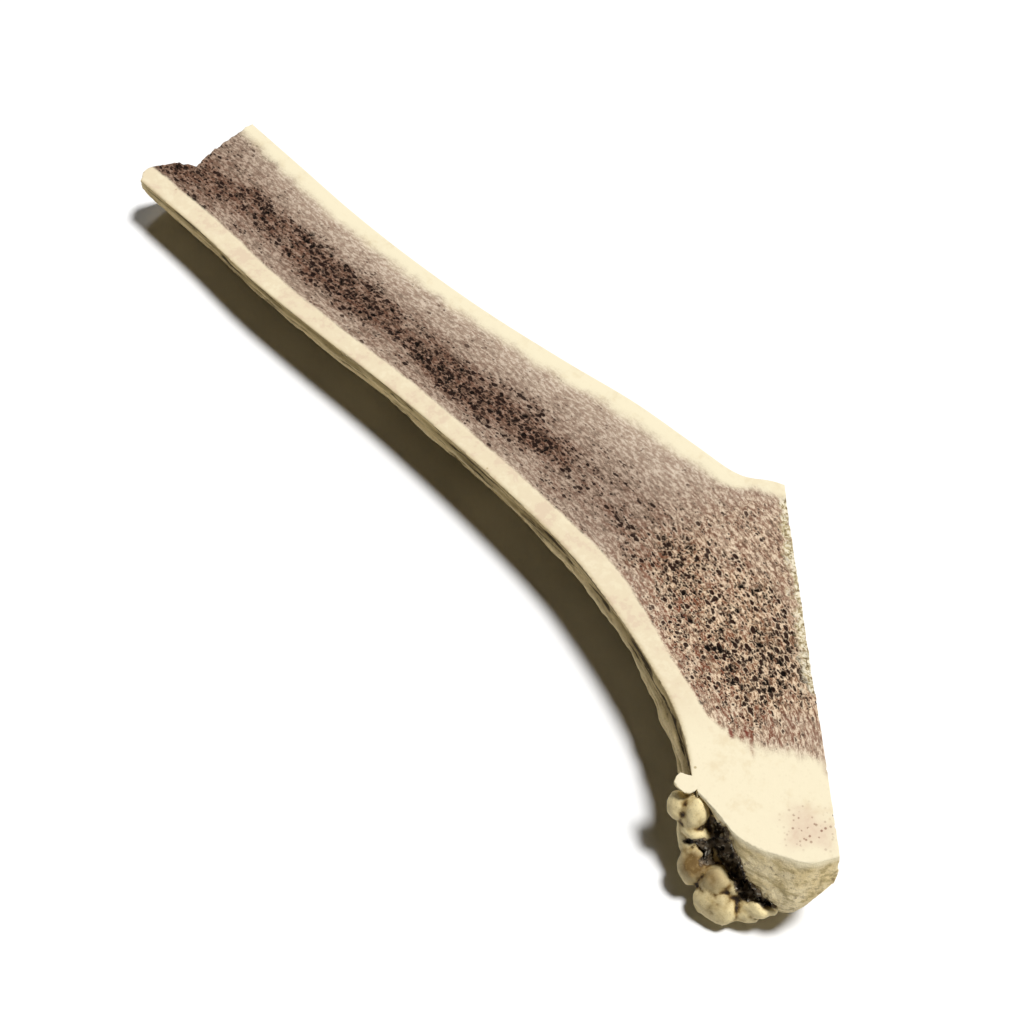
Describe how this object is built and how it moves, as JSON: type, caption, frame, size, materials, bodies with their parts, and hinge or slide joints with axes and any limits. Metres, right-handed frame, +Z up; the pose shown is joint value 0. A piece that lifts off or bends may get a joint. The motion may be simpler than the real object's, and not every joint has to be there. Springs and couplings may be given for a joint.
{
  "type": "split antler piece",
  "caption": "Burr end of a deer antler, sawn lengthwise and across its fork, lying on its rounded back with the porous marrow face up; a natural chew or display piece.",
  "frame": {"origin": "middle of the bottom of the piece's box, on the surface that it rests on", "axes": "+X from the burr towards the far end of the straight arm, +Z up, out of the sawn face, +Y to the side that the burr is turned to"},
  "size_m": [0.2064, 0.0698, 0.0188],
  "materials": {
    "antler_bone": "matte dry bone: cream compact wall, taupe porous marrow, olive grooved outer side"
  },
  "bodies": {
    "root": {"split_antler": "antler_bone"}
  },
  "joints": []
}
